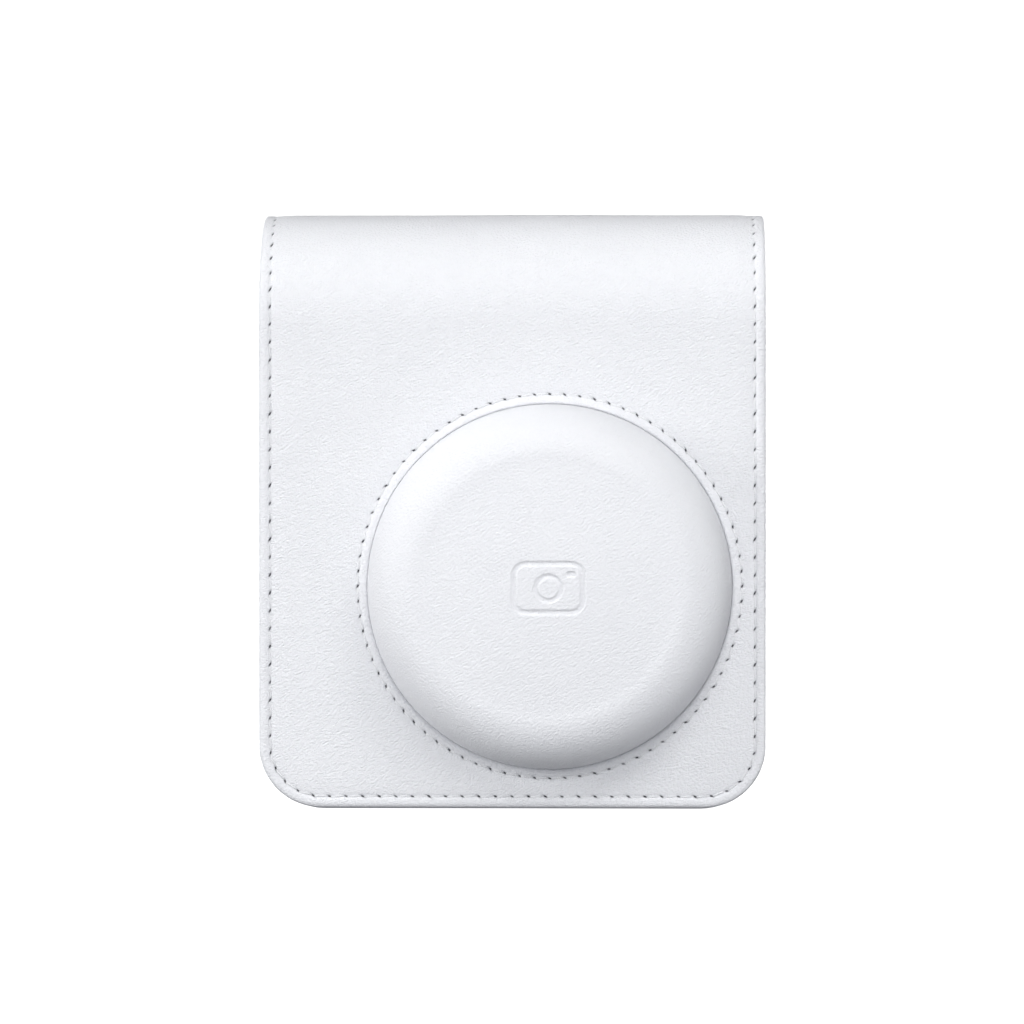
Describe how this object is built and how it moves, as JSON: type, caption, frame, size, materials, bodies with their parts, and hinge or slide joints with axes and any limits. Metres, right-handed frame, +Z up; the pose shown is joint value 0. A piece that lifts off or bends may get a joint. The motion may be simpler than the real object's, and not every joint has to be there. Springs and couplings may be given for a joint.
{
  "type": "instant camera in a fitted leatherette case",
  "caption": "Instant film camera closed in a stitched leatherette case, with a fold-over front flap, a moulded lens cup and strap rings.",
  "frame": {"origin": "centre of the closed case's bounding box, on the floor", "axes": "+Z up, the lens cup faces -Y, +X is to the right as seen from the front"},
  "size_m": [0.1146, 0.071, 0.132],
  "materials": {
    "leather": "matte, fine grain",
    "lining": "brushed microfibre",
    "board": "plain",
    "padding": "soft foam",
    "thread": "waxed thread",
    "magnet": "nickel plated",
    "chrome": "polished",
    "steel": "satin",
    "camera_shell": "satin gloss",
    "trim_plastic": "satin",
    "ring_plastic": "knurled",
    "white_plastic": "smooth",
    "button_plastic": "polished",
    "black_plastic": "fine texture",
    "black_metal": "matte",
    "clear_window": "clear",
    "smoked_window": "smoked",
    "lens_glass": "coated",
    "film": "smooth",
    "brass": "machined",
    "cell_jacket": "gloss",
    "circuit": "solder mask",
    "capacitor_sleeve": "shrink sleeve",
    "reflector": "polished"
  },
  "bodies": {
    "case": {"back_board": "board", "back_leather": "leather", "back_lining": "lining", "back_stitches": "thread", "front_frame": "leather", "gusset_leather": "leather", "gusset_lining": "lining", "ring_tabs": "leather", "strike_plates": "steel", "tab_rivets": "chrome", "front_shell": "camera_shell", "rear_shell": "camera_shell", "film_door": "camera_shell", "viewfinder_window": "clear_window", "flash_window": "clear_window", "light_sensor_window": "smoked_window", "counter_window": "clear_window", "shell_screws": "steel", "door_pin": "steel", "viewfinder_tunnel": "black_plastic", "eyepiece_lens": "lens_glass", "lens_base_ring": "trim_plastic", "lens_barrel": "trim_plastic", "front_lens": "lens_glass", "shutter_plate": "black_plastic", "light_box": "black_plastic", "film_pack": "black_plastic", "film_sheets": "film", "roller_brackets": "steel", "film_motor": "steel", "battery_tray": "black_plastic", "battery_cells": "cell_jacket", "battery_contacts": "steel", "circuit_board": "circuit", "flash_capacitor": "capacitor_sleeve", "flash_reflector": "reflector", "flash_tube": "lens_glass"},
    "flap_top": {"flap_top_leather": "leather", "flap_top_padding": "padding", "flap_top_lining": "lining", "flap_top_stitches": "thread"},
    "flap_front": {"flap_front_leather": "leather", "flap_front_board": "board", "flap_front_lining": "lining", "flap_front_stitches": "thread", "flap_magnets": "magnet", "lens_cup_leather": "leather", "lens_cup_foam": "padding", "lens_cup_lining": "lining", "lens_cup_stitches": "thread"},
    "ring_left": {"strap_ring_left": "chrome"},
    "ring_right": {"strap_ring_right": "chrome"},
    "shutter_button": {"shutter_button": "button_plastic"},
    "mode_ring": {"mode_ring": "ring_plastic"},
    "shutter_blade": {"shutter_blade": "black_metal"},
    "drive_roller": {"drive_roller": "steel"},
    "pinch_roller": {"pinch_roller": "steel"},
    "motor_pinion": {"motor_pinion": "brass"},
    "counter_wheel": {"counter_wheel": "white_plastic"},
    "door_latch": {"door_latch": "trim_plastic"}
  },
  "joints": [
    {"name": "flap_rear_hinge", "type": "hinge", "parent": "case", "child": "flap_top", "pos_m": [0, 0.03357, 0.13007], "axis": [-1, 0, 0], "range_deg": [0, 170]},
    {"name": "flap_front_bend", "type": "hinge", "parent": "flap_top", "child": "flap_front", "pos_m": [0, -0.01288, 0.12568], "axis": [-1, 0, 0], "range_deg": [0, 85]},
    {"name": "strap_ring_left_swing", "type": "hinge", "parent": "case", "child": "ring_left", "pos_m": [-0.05575, 0.022, 0.1], "axis": [0, 1, 0], "range_deg": [0, 150]},
    {"name": "strap_ring_right_swing", "type": "hinge", "parent": "case", "child": "ring_right", "pos_m": [0.05575, 0.022, 0.1], "axis": [0, -1, 0], "range_deg": [0, 150]},
    {"name": "shutter_button_press", "type": "slide", "parent": "case", "child": "shutter_button", "axis": [0, 1, 0], "range_m": [0, 0.0012], "stiffness_N_per_m": 900},
    {"name": "mode_ring_turn", "type": "hinge", "parent": "case", "child": "mode_ring", "pos_m": [0.0083, -0.0217, 0.0493], "axis": [0, -1, 0], "range_deg": [0, 60]},
    {"name": "shutter_blade_swing", "type": "hinge", "parent": "case", "child": "shutter_blade", "pos_m": [0.0203, -0.0099, 0.0493], "axis": [0, 1, 0], "range_deg": [0, 48]},
    {"name": "drive_roller_spin", "type": "hinge", "parent": "case", "child": "drive_roller", "pos_m": [0.008, 0.02, 0.1045], "axis": [1, 0, 0], "continuous": true},
    {"name": "pinch_roller_spin", "type": "hinge", "parent": "case", "child": "pinch_roller", "pos_m": [0.008, 0.0128, 0.1045], "axis": [1, 0, 0], "continuous": true},
    {"name": "motor_pinion_spin", "type": "hinge", "parent": "case", "child": "motor_pinion", "pos_m": [-0.026, 0.02363, 0.10949], "axis": [1, 0, 0], "continuous": true},
    {"name": "counter_wheel_turn", "type": "hinge", "parent": "case", "child": "counter_wheel", "pos_m": [-0.009, 0.0288, 0.03], "axis": [0, 1, 0], "range_deg": [0, 300]},
    {"name": "door_latch_slide", "type": "slide", "parent": "case", "child": "door_latch", "axis": [0, 0, 1], "range_m": [0, 0.003]}
  ],
  "couplings": [
    {"joint": "pinch_roller_spin", "follows": "drive_roller_spin", "ratio": -1.3333},
    {"joint": "motor_pinion_spin", "follows": "drive_roller_spin", "ratio": -2}
  ]
}
